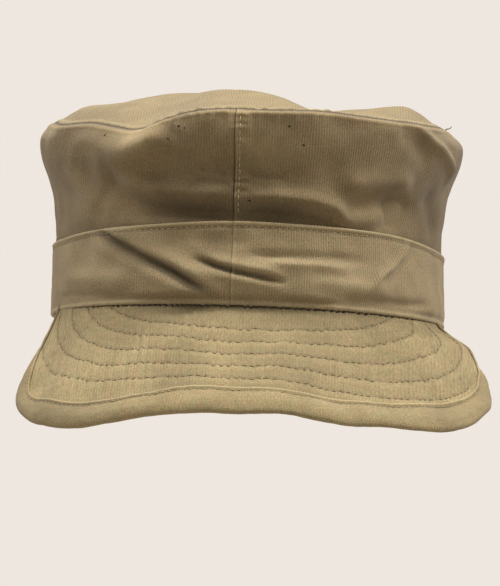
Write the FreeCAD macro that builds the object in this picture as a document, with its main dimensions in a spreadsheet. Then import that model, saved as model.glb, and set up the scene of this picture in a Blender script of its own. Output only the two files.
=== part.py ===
import FreeCAD, Part
import Sketcher
import math
import os

from FreeCAD import Placement, Rotation, Vector

# A soft field cap.  The origin is the middle of the head opening, on the plane of the
# band's lower edge.  +Z runs up through the crown, the visor points towards -Y.
# All sizes are millimetres.

SIZES = {
    # Head opening and band: ovals given by half their width (X) and half their length (Y).
    "rim_half_width": 84.0,
    "rim_half_length": 103.0,
    "band_height": 34.0,
    "band_cloth": 1.2,
    "crown_cloth": 1.0,
    # Crown: the wall flares from the waist to the shoulder, then turns in to the top seam.
    "hollow_rise": 8.0,
    "hollow_flare": 0.5,
    "waist_rise": 19.0,
    "waist_flare": 2.3,
    "shoulder_rise": 38.0,
    "shoulder_flare": 6.2,
    "seam_rise": 48.0,
    "seam_flare": 3.2,
    "dome_rise": 14.5,
    "dome_radius": 40.0,
    # Seam allowances and tapes on the inside of the crown.
    "sewn_gap": 0.1,
    "tape_cloth": 0.8,
    "tape_height": 7.5,
    "strip_half_width": 5.0,
    "front_strip_start": 36.0,
    "back_strip_start": 50.0,
    # Sweatband across the forehead, with a blank label on it.
    "sweatband_cloth": 0.8,
    "sweatband_height": 32.0,
    "sweatband_end": -35.0,
    "label_cloth": 0.3,
    "label_half_width": 15.0,
    "label_start": 8.0,
    "label_height": 16.0,
    # Ear and neck curtain, stowed inside the crown round the back of the head.
    "curtain_gap": 0.4,
    "curtain_cloth": 0.8,
    "curtain_front": -27.0,
    "curtain_start": 3.0,
    "curtain_height": 55.0,
    "curtain_corner": 20.0,
    "curtain_hem": 4.0,
    # Visor: a cone that leaves the rim, cut to an outline drawn in plan.
    "cone_back": 112.0,
    "cone_rise": 200.0,
    "cone_top": 8.0,
    "cone_bottom": 70.0,
    "visor_layer": 1.1,
    "front_arc_radius": 96.0,
    "front_arc_centre": -54.5,
    "corner_radius": 20.0,
    "corner_centre": 71.0,
    "side_angle": 112.0,
    "outline_back": -30.0,
    "binding_width": 11.0,
    "binding_cloth": 1.0,
    # Sewing thread.
    "thread": 0.35,
    "first_row_radius": 58.5,
    "row_spacing": 5.3,
    "seam_to_stitches": 2.0,
    "edge_to_stitches": 2.0,
}
VISOR_ROWS = 5
REACH = 300.0

doc = FreeCAD.newDocument("field_cap")
sheet = doc.addObject("Spreadsheet::Sheet", "Sizes")
for row, (alias, value) in enumerate(SIZES.items(), start=1):
    sheet.set(f"A{row}", alias)
    sheet.set(f"B{row}", str(value))
    sheet.setAlias(f"B{row}", alias)
doc.recompute()

nodes = []


def formula(text):
    """Point the words of a formula at the cells of the sheet."""
    words = text.split()
    return " ".join(f"Sizes.{word}" if word in SIZES else word for word in words)


def bind(thing, links):
    """Bind properties of an object to formulas made of sheet cells."""
    for name, text in links.items():
        thing.setExpression(name, formula(text))
    return thing


def node(thing, label):
    """Name a finished sub-part."""
    thing.Label = label
    nodes.append(thing)
    return thing


def cut(name, base, tool):
    """Base with the tool taken away."""
    result = doc.addObject("Part::Cut", name)
    result.Base = base
    result.Tool = tool
    return result


def common(name, *shapes):
    """What all the given shapes share."""
    result = doc.addObject("Part::MultiCommon", name)
    result.Shapes = list(shapes)
    return result


def fuse(name, *shapes):
    """The given shapes joined into one."""
    result = doc.addObject("Part::MultiFuse", name)
    result.Shapes = list(shapes)
    return result


def oval(name, level, half_width, half_length, centre="0"):
    """A flat oval, longer in Y, at a level."""
    ring = doc.addObject("Part::Ellipse", name)
    ring.Placement = Placement(Vector(0, 0, 0), Rotation(Vector(0, 0, 1), 90))
    return bind(ring, {
        "MajorRadius": half_length,
        "MinorRadius": half_width,
        "Placement.Base.y": centre,
        "Placement.Base.z": level,
    })


def skin(name, rings, ruled):
    """A solid through a stack of ovals."""
    loft = doc.addObject("Part::Loft", name)
    loft.Sections = [oval(f"{name}_ring_{index}", *ring) for index, ring in enumerate(rings)]
    loft.Solid = True
    loft.Ruled = ruled
    return loft


def upright(name, offset, bottom, top):
    """A solid oval column, its wall offset from the rim oval."""
    half_width = f"rim_half_width {offset}"
    half_length = f"rim_half_length {offset}"
    return skin(name, [(bottom, half_width, half_length), (top, half_width, half_length)], True)


def box(name, low, high):
    """A box between two corners, each a triple of formulas."""
    block = doc.addObject("Part::Box", name)
    links = {}
    for axis, side, start, end in zip("xyz", ("Length", "Width", "Height"), low, high):
        links[f"Placement.Base.{axis}"] = start
        links[side] = f"( {end} ) - ( {start} )"
    return bind(block, links)


far = str(REACH)
left_half = box("left_half", (f"- {far}", f"- {far}", f"- {far}"), ("0", far, far))
right_half = box("right_half", ("0", f"- {far}", f"- {far}"), (far, far, far))

# Hat band: a straight oval wall in two halves, joined at the front and the back.
band_outer = upright("band_outer", "", "0", "band_height")
band_inner = upright("band_inner", "- band_cloth", "0", "band_height")
band_wall = cut("band_wall", band_outer, band_inner)
node(common("band_left", band_wall, left_half), "band_left")
node(common("band_right", band_wall, right_half), "band_right")


# Crown wall: straight behind the band, flared above it.
def crown_skin(name, offset):
    """The crown's outer surface as a solid, grown or shrunk by an offset."""
    wide = f"rim_half_width - band_cloth {offset}"
    long = f"rim_half_length - band_cloth {offset}"
    rings = [("band_height", wide, long)]
    for stage in ("hollow", "waist", "shoulder", "seam"):
        level = f"band_height + {stage}_rise"
        rings.append((level, f"{wide} + {stage}_flare", f"{long} + {stage}_flare"))
    return skin(name, rings, False)


crown_out = crown_skin("crown_out", "")
crown_in = crown_skin("crown_in", "- crown_cloth")
crown_tape_out = crown_skin("crown_tape_out", "- crown_cloth - sewn_gap")
crown_tape_in = crown_skin("crown_tape_in", "- crown_cloth - sewn_gap - tape_cloth")
crown_thread_in = crown_skin("crown_thread_in", "+ sewn_gap")
crown_thread_out = crown_skin("crown_thread_out", "+ sewn_gap + thread")

foot_in = upright("foot_in", "- band_cloth - crown_cloth", "0", "band_height")
foot_wall = cut("foot_wall", band_inner, foot_in)
flare_wall = cut("flare_wall", crown_out, crown_in)
crown_wall = fuse("crown_wall", foot_wall, flare_wall)
node(common("crown_side_left", crown_wall, left_half), "crown_side_left")
node(common("crown_side_right", crown_wall, right_half), "crown_side_right")


# Oval top: a shallow dome sewn to the top of the wall.
def dome(name, offset):
    """An ellipsoid whose cap above the top seam is the oval top."""
    ball = doc.addObject("Part::Ellipsoid", name)
    spread = "sqrt( 1 - ( ( dome_radius - dome_rise ) / dome_radius ) ^ 2 )"
    wide = "( rim_half_width - band_cloth + seam_flare )"
    long = "( rim_half_length - band_cloth + seam_flare )"
    return bind(ball, {
        "Radius1": f"dome_radius {offset}",
        "Radius2": f"{wide} / {spread} {offset}",
        "Radius3": f"{long} / {spread} {offset}",
        "Placement.Base.z": "band_height + seam_rise + dome_rise - dome_radius",
    })


dome_shell = cut("dome_shell", dome("dome_out", ""), dome("dome_in", "- crown_cloth"))
above_seam = box(
    "above_seam", (f"- {far}", f"- {far}", "band_height + seam_rise"), (far, far, far)
)
node(common("crown_top", dome_shell, above_seam), "crown_top")

# Seam allowances inside the crown, down the front and the back, and round the top.
tape_wall = cut("tape_wall", crown_tape_out, crown_tape_in)
tape_start = "band_height + seam_rise - tape_height"
tape_zone = box(
    "tape_zone", (f"- {far}", f"- {far}", tape_start), (far, far, "band_height + seam_rise")
)
node(common("crown_top_seam_tape", tape_wall, tape_zone), "crown_top_seam_tape")
for place, start, near, beyond in (
    ("front", "front_strip_start", f"- {far}", "0"),
    ("back", "back_strip_start", "0", far),
):
    zone = box(
        f"{place}_strip_zone",
        ("- strip_half_width", near, start),
        ("strip_half_width", beyond, tape_start),
    )
    label = f"crown_{place}_seam_strip"
    node(common(label, tape_wall, zone), label)
    thread_wall = cut(f"{place}_thread_wall", crown_thread_out, crown_thread_in)
    thread_zone = box(
        f"{place}_thread_zone",
        ("seam_to_stitches", near, "band_height"),
        ("seam_to_stitches + thread", beyond, "band_height + seam_rise"),
    )
    label = f"crown_{place}_seam_stitching"
    node(common(label, thread_wall, thread_zone), label)

# Stitching just under the band's top edge.
band_thread_low = "band_height - edge_to_stitches - thread"
band_thread_high = "band_height - edge_to_stitches"
band_thread_out = upright("band_thread_out", "+ thread", band_thread_low, band_thread_high)
node(cut("band_stitching", band_thread_out, band_outer), "band_stitching")

# Sweatband across the forehead, on the inside of the crown wall, with its blank label.
sweat_offset = "- band_cloth - crown_cloth"
sweat_out = upright("sweat_out", sweat_offset, "0", "sweatband_height")
sweat_in = upright("sweat_in", f"{sweat_offset} - sweatband_cloth", "0", "sweatband_height")
forehead = box("forehead", (f"- {far}", f"- {far}", "0"), (far, "sweatband_end", far))
node(common("sweatband", cut("sweat_wall", sweat_out, sweat_in), forehead), "sweatband")
label_offset = f"{sweat_offset} - sweatband_cloth - label_cloth"
label_in = upright("label_in", label_offset, "0", "sweatband_height")
label_zone = box(
    "label_zone",
    ("- label_half_width", f"- {far}", "label_start"),
    ("label_half_width", "0", "label_start + label_height"),
)
node(common("size_label", cut("label_wall", sweat_in, label_in), label_zone), "size_label")

# Ear and neck curtain: two layers round the back, from temple to temple, with the corners
# of its free lower edge rounded.
curtain_block = box(
    "curtain_block",
    (f"- {far}", "curtain_front", "curtain_start"),
    (far, far, "curtain_start + curtain_height"),
)
doc.recompute()
curtain_zone = doc.addObject("Part::Fillet", "curtain_zone")
curtain_zone.Base = curtain_block
rounded = []
for index, edge in enumerate(curtain_block.Shape.Edges, start=1):
    middle = edge.CenterOfMass
    if abs(middle.x) < 1 and abs(middle.y - sheet.curtain_front) < 1 and middle.z < 10:
        rounded.append((index, sheet.curtain_corner, sheet.curtain_corner))
curtain_zone.Edges = rounded
curtain_top = "curtain_start + curtain_height"
curtain_offset = f"{sweat_offset} - curtain_gap"
curtain_skins = []
for depth in range(3):
    offset = f"{curtain_offset} - {depth} * curtain_cloth"
    curtain_skins.append(upright(f"curtain_skin_{depth}", offset, "curtain_start", curtain_top))
for depth, label in enumerate(("curtain_shell", "curtain_lining")):
    layer = cut(f"curtain_layer_{depth}", curtain_skins[depth], curtain_skins[depth + 1])
    node(common(label, layer, curtain_zone), label)
hem_low = "curtain_start + curtain_hem"
hem_high = "curtain_start + curtain_hem + thread"
hem_offset = f"{curtain_offset} - 2 * curtain_cloth"
hem_out = upright("hem_out", hem_offset, hem_low, hem_high)
hem_in = upright("hem_in", f"{hem_offset} - thread", hem_low, hem_high)
hem_zone = box("hem_zone", (f"- {far}", "curtain_front + curtain_corner", "0"), (far, far, far))
node(common("curtain_stitching", cut("hem_wall", hem_out, hem_in), hem_zone), "curtain_stitching")


# Visor.  Every layer lies between two cones that leave the rim, drawn outwards by an offset.
def cone(name, offset):
    """A solid inside the visor's cone; the cone at offset nothing passes through the rim."""
    rings = []
    for level in ("- cone_bottom", "cone_top"):
        growth = f"( 1 - ( {level} ) / cone_rise )"
        half_width = f"rim_half_width * {growth} {offset}"
        half_length = f"rim_half_length * {growth} {offset}"
        rings.append((level, half_width, half_length, f"cone_back * ( {level} ) / cone_rise"))
    return skin(name, rings, True)


def endpoint_tangent(sketch, first, first_end, second, second_end):
    """Join two curves smoothly, end to end."""
    sketch.addConstraint(Sketcher.Constraint("Tangent", first, first_end, second, second_end))


def visor_prism(name, inset):
    """The visor's outline in plan, drawn in by an inset and padded through the cone's height."""
    body = doc.addObject("PartDesign::Body", name)
    sketch = body.newObject("Sketcher::SketchObject", f"{name}_outline")
    plane = next(face for face in body.Origin.OriginFeatures if face.Role == "XY_Plane")
    sketch.AttachmentSupport = [(plane, "")]
    sketch.MapMode = "FlatFace"
    bind(sketch, {"AttachmentOffset.Base.z": "- cone_bottom"})

    reach = sheet.front_arc_radius - inset
    small = sheet.corner_radius - inset
    hub = Vector(0, sheet.front_arc_centre, 0)
    side = sheet.corner_centre
    drop = math.sqrt((sheet.front_arc_radius - sheet.corner_radius) ** 2 - side ** 2)
    swing = math.atan2(-drop, side)
    lean = math.radians(sheet.side_angle - 90)
    up = Vector(0, 0, 1)
    right_pin = Vector(side, sheet.front_arc_centre - drop, 0)
    left_pin = Vector(-side, sheet.front_arc_centre - drop, 0)
    right_start = right_pin + Vector(math.cos(lean), math.sin(lean), 0) * small
    run = (sheet.outline_back - right_start.y) / math.cos(lean)
    right_back = right_start + Vector(-math.sin(lean), math.cos(lean), 0) * run
    left_start = Vector(-right_start.x, right_start.y, 0)
    left_back = Vector(-right_back.x, right_back.y, 0)

    front, right, left = (Part.Circle(hub, up, reach), Part.Circle(right_pin, up, small),
                          Part.Circle(left_pin, up, small))
    sketch.addGeometry(Part.ArcOfCircle(front, -math.pi - swing, swing), False)
    sketch.addGeometry(Part.ArcOfCircle(right, swing, lean), False)
    sketch.addGeometry(Part.LineSegment(right_start, right_back), False)
    sketch.addGeometry(Part.LineSegment(right_back, left_back), False)
    sketch.addGeometry(Part.LineSegment(left_back, left_start), False)
    sketch.addGeometry(Part.ArcOfCircle(left, math.pi - lean, math.pi - swing), False)
    front_arc, right_arc, right_side, back, left_side, left_arc = range(6)
    start, end, centre = 1, 2, 3

    endpoint_tangent(sketch, front_arc, end, right_arc, start)
    endpoint_tangent(sketch, right_arc, end, right_side, start)
    endpoint_tangent(sketch, left_side, end, left_arc, start)
    endpoint_tangent(sketch, left_arc, end, front_arc, start)
    for first, second in ((right_side, back), (back, left_side)):
        sketch.addConstraint(Sketcher.Constraint("Coincident", first, end, second, start))
    sketch.addConstraint(Sketcher.Constraint("PointOnObject", front_arc, centre, -2))
    sketch.addConstraint(Sketcher.Constraint("Symmetric", back, start, back, end, -2))
    sketch.addConstraint(Sketcher.Constraint("Symmetric", right_arc, centre, left_arc, centre, -2))
    driven = (
        (("DistanceY", -1, 1, front_arc, centre, hub.y), "front_arc_centre"),
        (("Radius", front_arc, reach), f"front_arc_radius - {inset}"),
        (("Radius", right_arc, small), f"corner_radius - {inset}"),
        (("DistanceX", -1, 1, right_arc, centre, side), "corner_centre"),
        (("Angle", right_side, math.radians(sheet.side_angle)), "side_angle * 1 deg"),
        (("DistanceY", -1, 1, right_side, end, right_back.y), "outline_back"),
    )
    for constraint, text in driven:
        index = sketch.addConstraint(Sketcher.Constraint(*constraint))
        sketch.setExpression(f"Constraints[{index}]", formula(text))
    pad = body.newObject("PartDesign::Pad", f"{name}_pad")
    pad.Profile = sketch
    bind(pad, {"Length": "cone_bottom + cone_top"})
    body.Tip = pad
    return body


rim_column = upright("rim_column", "", "- cone_bottom", "cone_top")


def visor_region(name, inset):
    """The visor's outline outside the rim."""
    return cut(name, visor_prism(f"{name}_prism", inset), rim_column)


cones = {}
for label, offset in (
    ("binding_under", "- binding_cloth"),
    ("underside", ""),
    ("board", "+ visor_layer"),
    ("top", "+ 2 * visor_layer"),
    ("outside", "+ 3 * visor_layer"),
    ("thread_outside", "+ 3 * visor_layer + thread"),
    ("binding_outside", "+ 3 * visor_layer + binding_cloth"),
    ("edge_thread_outside", "+ 3 * visor_layer + binding_cloth + thread"),
):
    cones[label] = cone(f"cone_{label}", offset)

outline = visor_region("outline", 0.0)
wrap = visor_region("wrap", -sheet.binding_cloth)
field = visor_region("field", sheet.binding_width)
for label, inner, outer in (
    ("visor_underside", "underside", "board"),
    ("visor_stiffener", "board", "top"),
    ("visor_top", "top", "outside"),
):
    layer = cut(f"{label}_layer", cones[outer], cones[inner])
    node(common(label, outline, layer), label)

# Edge binding: a folded strip over the rim of all three layers.
sandwich = common("sandwich", outline, cut("core", cones["outside"], cones["underside"]))
sleeve = cut("sleeve", cones["binding_outside"], cones["binding_under"])
binding_blank = cut("binding_blank", common("binding_full", wrap, sleeve), sandwich)
node(cut("visor_binding", binding_blank, field), "visor_binding")


# Rows of stitching across the top of the visor.
def drum(name, radius):
    """A round column on the front arc's centre."""
    column = doc.addObject("Part::Cylinder", name)
    return bind(column, {
        "Radius": radius,
        "Height": "cone_bottom + cone_top",
        "Placement.Base.y": "front_arc_centre",
        "Placement.Base.z": "- cone_bottom",
    })


thread_layer = cut("thread_layer", cones["thread_outside"], cones["outside"])
for index in range(VISOR_ROWS):
    radius = f"first_row_radius + {index} * row_spacing"
    outer_drum = drum(f"row_{index}_out", f"{radius} + thread")
    ring = cut(f"row_{index}_ring", outer_drum, drum(f"row_{index}_in", radius))
    label = f"visor_stitch_row_{index + 1}"
    node(common(label, field, thread_layer, ring), label)

# Stitching along the folded edge of the binding.
edge_inset = sheet.binding_width - sheet.edge_to_stitches
edge_ring = cut(
    "edge_ring",
    visor_prism("edge_ring_out", edge_inset),
    visor_prism("edge_ring_in", edge_inset + sheet.thread),
)
edge_layer = cut("edge_layer", cones["edge_thread_outside"], cones["binding_outside"])
node(common("visor_binding_stitching", wrap, edge_layer, edge_ring), "visor_binding_stitching")

doc.recompute()

for thing in doc.Objects:
    if "Invalid" in thing.State or "Error" in thing.State:
        raise RuntimeError(f"{thing.Name} failed: {thing.State}")
for thing in nodes:
    if thing.Shape.isNull() or not thing.Shape.isValid():
        raise RuntimeError(f"{thing.Label} has no valid shape")

os.makedirs("parts", exist_ok=True)
for thing in nodes:
    thing.Shape.exportStep(f"parts/{thing.Label}.step")
    print(f"{thing.Label}: {len(thing.Shape.Solids)} solid, {thing.Shape.Volume:.1f} mm3")
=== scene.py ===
import math

import bpy
import numpy as np
from mathutils import Matrix, Vector


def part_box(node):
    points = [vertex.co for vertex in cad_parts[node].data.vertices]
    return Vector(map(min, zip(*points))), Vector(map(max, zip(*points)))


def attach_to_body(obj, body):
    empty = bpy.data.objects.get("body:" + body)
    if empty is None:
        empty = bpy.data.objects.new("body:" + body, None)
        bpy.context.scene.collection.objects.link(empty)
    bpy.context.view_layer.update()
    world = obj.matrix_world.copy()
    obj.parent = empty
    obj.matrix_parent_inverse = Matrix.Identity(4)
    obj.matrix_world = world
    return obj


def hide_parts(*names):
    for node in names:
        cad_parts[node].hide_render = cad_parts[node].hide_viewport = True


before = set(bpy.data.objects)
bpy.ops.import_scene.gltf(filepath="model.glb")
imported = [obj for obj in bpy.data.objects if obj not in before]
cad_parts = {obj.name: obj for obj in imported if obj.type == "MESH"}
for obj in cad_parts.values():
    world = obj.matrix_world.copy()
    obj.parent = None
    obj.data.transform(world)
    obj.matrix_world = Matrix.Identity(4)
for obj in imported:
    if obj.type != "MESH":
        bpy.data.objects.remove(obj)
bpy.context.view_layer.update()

# Lengths are millimetres until a mesh is made.  phi is the angle round the cap: zero at the
# front (-Y), growing towards +X.
MM = 0.001
# The band's right half reaches the rim's half-width, its half-length and the band's top.
RIM_X, RIM_Y, BAND_TOP = np.array(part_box("band_right")[1]) / MM
TURN = math.tau
GIRTH = (RIM_X + RIM_Y) / 2
SEAM_PHI = math.radians(-2.6)
# Thicknesses of the cloths.
BAND_CLOTH = 1.3
CROWN_CLOTH = 0.8
VISOR_CLOTH = 0.7
TAPE_CLOTH = 0.6
LINING_CLOTH = 0.8
LABEL_CLOTH = 0.3
RNG = np.random.default_rng(1951)


# ---- numbers and noise

def ease(x):
    """Smooth step from 0 at 0 to 1 at 1."""
    x = np.clip(x, 0, 1)
    return x * x * (3 - 2 * x)


def bell(x, width):
    """Rounded bump, 1 in the middle."""
    return np.exp(-((x / width) ** 2))


def wrap_angle(phi):
    """An angle brought between minus and plus half a turn."""
    return (phi + math.pi) % TURN - math.pi


def degrees_round(phi):
    """Degrees round the cap from its front, between -180 and 180."""
    return np.degrees(wrap_angle(phi))


def from_seam(phi, seam):
    """Length round the cap from a seam, positive towards +X at the front."""
    return wrap_angle(phi - seam) * GIRTH


def through(knots, x, period=None):
    """A smooth curve through knots of (place, value)."""
    place, value = (np.array(column, float) for column in zip(*knots))
    if period:
        place = np.concatenate([place[-2:] - period, place, place[:2] + period])
        value = np.concatenate([value[-2:], value, value[:2]])
        x = (x - place[2]) % period + place[2]
    slope = np.gradient(value, place)
    index = np.clip(np.searchsorted(place, x, side="right") - 1, 0, len(place) - 2)
    span = place[index + 1] - place[index]
    t = np.clip((x - place[index]) / span, 0, 1)
    start = (1 + 2 * t) * (1 - t) ** 2 * value[index] + t * (1 - t) ** 2 * span * slope[index]
    end = t * t * (3 - 2 * t) * value[index + 1] - t * t * (1 - t) * span * slope[index + 1]
    return start + end


def round_cap(knots, phi):
    """A smooth closed curve through knots of (degrees round the cap, value)."""
    return through(knots, np.degrees(phi), 360)


def swell(size, stretch=1.0):
    """Soft random waves of about one size, as a function of two lengths; about -1 to 1."""
    count = 14
    heading = RNG.uniform(0, TURN, count)
    length = size * RNG.uniform(0.7, 1.6, count)
    phase = RNG.uniform(0, TURN, count)
    across = np.cos(heading) * TURN / length
    along = np.sin(heading) * TURN / length / stretch

    def field(u, v):
        total = np.zeros(np.broadcast(u, v).shape)
        for a, b, p in zip(across, along, phase):
            total += np.sin(a * u + b * v + p)
        return total / math.sqrt(count)

    return field


def crease(u, v, path, width, depth, kind):
    """Height of a fold that follows a path of (u, v).

    A bell is a ridge, a step is high on the path's left, a tuck is a step over a sharp valley.
    """
    path = np.array(path, float)
    steps = np.diff(path, axis=0)
    lengths = np.hypot(*steps.T)
    total = lengths.sum()
    nearest = np.full(np.broadcast(u, v).shape, np.inf)
    signed = np.zeros_like(nearest)
    along = np.zeros_like(nearest)
    walked = 0.0
    for start, step, length in zip(path, steps, lengths):
        du, dv = u - start[0], v - start[1]
        t = np.clip((du * step[0] + dv * step[1]) / length ** 2, 0, 1)
        away = np.hypot(du - t * step[0], dv - t * step[1])
        side = np.sign(dv * step[0] - du * step[1])
        closer = away < nearest
        nearest = np.where(closer, away, nearest)
        signed = np.where(closer, away * side, signed)
        along = np.where(closer, (walked + t * length) / total, along)
        walked += length
    taper = ease(along / 0.25) * ease((1 - along) / 0.25)
    across = signed / width
    if kind == "step":
        shape = across * np.exp(0.5 - 0.5 * across ** 2)
    elif kind == "tuck":
        ridge = 0.66 * bell(across - 1.5, 1.4) + 0.45 * bell(across + 1.8, 1.3)
        shape = ridge - 1.05 * bell(across, 0.6)
    else:
        shape = bell(nearest, width)
    return depth * taper * shape


def creases(phi, z, folds):
    """Sum of folds given in degrees round the cap and millimetres up it."""
    u = np.degrees(phi)
    scale = GIRTH * math.pi / 180
    total = 0.0
    for path, width, depth, kind in folds:
        placed = [(angle * scale, height) for angle, height in path]
        total = total + crease(u * scale, z, placed, width, depth, kind)
    return total


def patches(phi, z, places):
    """Sum of soft patches: millimetres up, half-height, degrees round, half-width, amount."""
    angle = degrees_round(phi)
    return sum(amount * bell(z - up, high) * bell(angle - at, wide)
               for up, high, at, wide, amount in places)


def crease_painted_shade(phi, z, folds):
    """Painted shade along the bottom of the sharp folds, as values below zero."""
    sharp = [(path, width * 0.8, -0.8, "bell") for path, width, _, kind in folds if kind == "tuck"]
    return creases(wrap_angle(phi), z, sharp)


def oval(phi, grow, z):
    """Points on the rim's oval, moved outwards by grow."""
    x = (RIM_X + grow) * np.sin(phi)
    y = -(RIM_Y + grow) * np.cos(phi)
    return np.stack(np.broadcast_arrays(x, y, z), axis=-1)


# ---- meshes

def add_object(name, data):
    """A new object in the scene."""
    thing = bpy.data.objects.new(name, data)
    bpy.context.scene.collection.objects.link(thing)
    return thing


def make_object(name, points, faces, uv, wear_and_painted_light=None):
    """A smooth mesh from points in millimetres, with cloth coordinates and one value per point:
    paler above zero for rubbing and painted highlights, painted shade below zero.
    """
    mesh = bpy.data.meshes.new(name)
    mesh.from_pydata((np.asarray(points) * MM).tolist(), [], [list(face) for face in faces])
    mesh.validate()
    layer = mesh.uv_layers.new(name="cloth")
    corner = np.empty(len(mesh.loops), dtype=np.int32)
    mesh.loops.foreach_get("vertex_index", corner)
    layer.data.foreach_set("uv", uv[corner].astype(np.float32).ravel())
    attribute = mesh.attributes.new("wear_and_painted_light", "FLOAT", "POINT")
    values = np.zeros(len(mesh.vertices)) if wear_and_painted_light is None else np.asarray(wear_and_painted_light)
    attribute.data.foreach_set("value", values.astype(np.float32).ravel())
    mesh.shade_smooth()
    return add_object(name, mesh)


def grid_faces(rows, columns, wrap=False):
    """Quads of a grid, columns first; wrap joins the last column to the first."""
    faces = []
    for i in range(rows - 1):
        for j in range(columns if wrap else columns - 1):
            here, below = i * columns, (i + 1) * columns
            after = (j + 1) % columns
            faces.append((here + j, here + after, below + after, below + j))
    return faces


def sheet_object(name, points, uv, wear_and_painted_light=None, wrap=False, turned=False):
    """A grid of points as one surface; turned faces look the other way."""
    faces = grid_faces(*points.shape[:2], wrap)
    if turned:
        faces = [face[::-1] for face in faces]
    wear_and_painted_light = None if wear_and_painted_light is None else wear_and_painted_light.ravel()
    return make_object(name, points.reshape(-1, 3), faces, uv.reshape(-1, 2), wear_and_painted_light)


def thicken(thing, thickness):
    """Give a surface its cloth thickness, on the side away from its normals."""
    modifier = thing.modifiers.new("cloth", "SOLIDIFY")
    modifier.thickness = thickness * MM
    modifier.offset = -1


def roll_object(name, loops, uv, wear_and_painted_light=None):
    """A closed section swept along a path: rows are sections, columns go round the section."""
    rows, columns = loops.shape[:2]
    faces = grid_faces(rows, columns, wrap=True)
    faces.append(tuple(range(columns)))
    faces.append(tuple(range((rows - 1) * columns, rows * columns))[::-1])
    wear_and_painted_light = None if wear_and_painted_light is None else wear_and_painted_light.ravel()
    return make_object(name, loops.reshape(-1, 3), faces, uv.reshape(-1, 2), wear_and_painted_light)


def attach(thing, slot, *nodes, body="cap"):
    """Make a piece ride on a body and stand for its CAD nodes, which it hides; slot is not used.
    """
    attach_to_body(thing, body)
    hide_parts(*nodes)
    return thing


def walk(points):
    """Length walked along a line of points, from 0."""
    return np.concatenate([[0], np.cumsum(np.linalg.norm(np.diff(points, axis=0), axis=1))])


def walk_rows(points):
    """Length walked along each row of a grid of points, from 0."""
    steps = np.linalg.norm(np.diff(points, axis=1), axis=2)
    return np.pad(steps.cumsum(axis=1), ((0, 0), (1, 0)))


def on_line(where, place, points):
    """Points of a line at new places along it."""
    return np.stack([np.interp(where, place, axis) for axis in points.T], axis=1)


def on_curve(where, place, points):
    """Points of a smooth curve through a line's points, at new places along it."""
    return np.stack([through(zip(place, axis), where) for axis in points.T], axis=1)


def cloth_uv(u, v):
    """Cloth coordinates, in millimetres, of a grid of points."""
    return np.stack(np.broadcast_arrays(u, v), axis=-1)


def unit(vectors):
    """Vectors scaled to length 1."""
    return vectors / np.maximum(np.linalg.norm(vectors, axis=-1, keepdims=True), 1e-9)


def stitches(name, line, normals, pitch, length, radius, lift, skip=0.0):
    """Separate sewn stitches along a line that lies on a surface with the given normals."""
    travelled = walk(line)
    count = int((travelled[-1] - pitch) / pitch)
    sides = 6
    rings = 6
    points, faces = [], []
    turn = np.arange(sides) * TURN / sides
    for index in range(count):
        middle = pitch * (index + 0.7) + RNG.normal(0, pitch * 0.04)
        own = length * RNG.uniform(0.86, 1.1)
        sideways = RNG.normal(0, 0.07)
        if RNG.random() < skip:
            continue
        t = np.linspace(0, 1, rings)
        where = middle + (t - 0.5) * own
        spine = on_line(where, travelled, line)
        up = unit(on_line(where, travelled, normals))
        ahead = unit(np.gradient(spine, axis=0))
        across = np.cross(ahead, up)
        arch = np.sin(t * math.pi)
        spine = spine + up * (radius * (lift + 1.2 * (arch - 0.7)))[:, None] + across * sideways
        fat = radius * (0.55 + 0.45 * np.sqrt(arch))
        ring = (np.cos(turn)[None, :, None] * across[:, None, :]
                + np.sin(turn)[None, :, None] * up[:, None, :] * 0.8)
        base = len(points) * rings * sides
        points.append(spine[:, None, :] + ring * fat[:, None, None])
        for face in grid_faces(rings, sides, wrap=True):
            faces.append([corner + base for corner in face])
        faces.append([base + k for k in range(sides)][::-1])
        faces.append([base + (rings - 1) * sides + k for k in range(sides)])
    points = np.concatenate([block.reshape(-1, 3) for block in points])
    return make_object(name, points, faces, points[:, [0, 2]])


def surface_normals(surface, u, v):
    """Normals of a surface given as a function of two lengths."""
    step = 0.4
    across = surface(u + step, v) - surface(u - step, v)
    along = surface(u, v + step) - surface(u, v - step)
    return unit(np.cross(across, along))


# ---- crown

# Height of the top seam by degrees round, with its dip at the front left.
SEAM_HEIGHTS = [
    (-180, 84), (-135, 86), (-100, 86.6), (-78, 81.6), (-60, 75.8), (-47, 74.2), (-38, 71.2),
    (-31, 69.2), (-28, 69.4), (-23, 72.4), (-15.5, 74.8), (-7, 76), (5, 76), (18, 77),
    (36, 77), (50, 78), (60, 79.5), (75, 83), (95, 87), (135, 86),
]
# How far the side leans out of the band, by share of its height, and that lean's share by
# degrees round.
FLARE = [(0, 0), (0.1, 0.1), (0.22, 0.5), (0.36, 1.2), (0.52, 3.6), (0.7, 7.4), (0.84, 8.4),
         (0.94, 8.0), (1, 7.0)]
FLARE_ROUND = [(-180, 0.9), (-90, 1.0), (-60, 0.95), (-40, 0.8), (-25, 0.8), (0, 0.78),
               (20, 0.75), (38, 0.85), (55, 0.88), (90, 0.86), (120, 0.85)]
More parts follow.
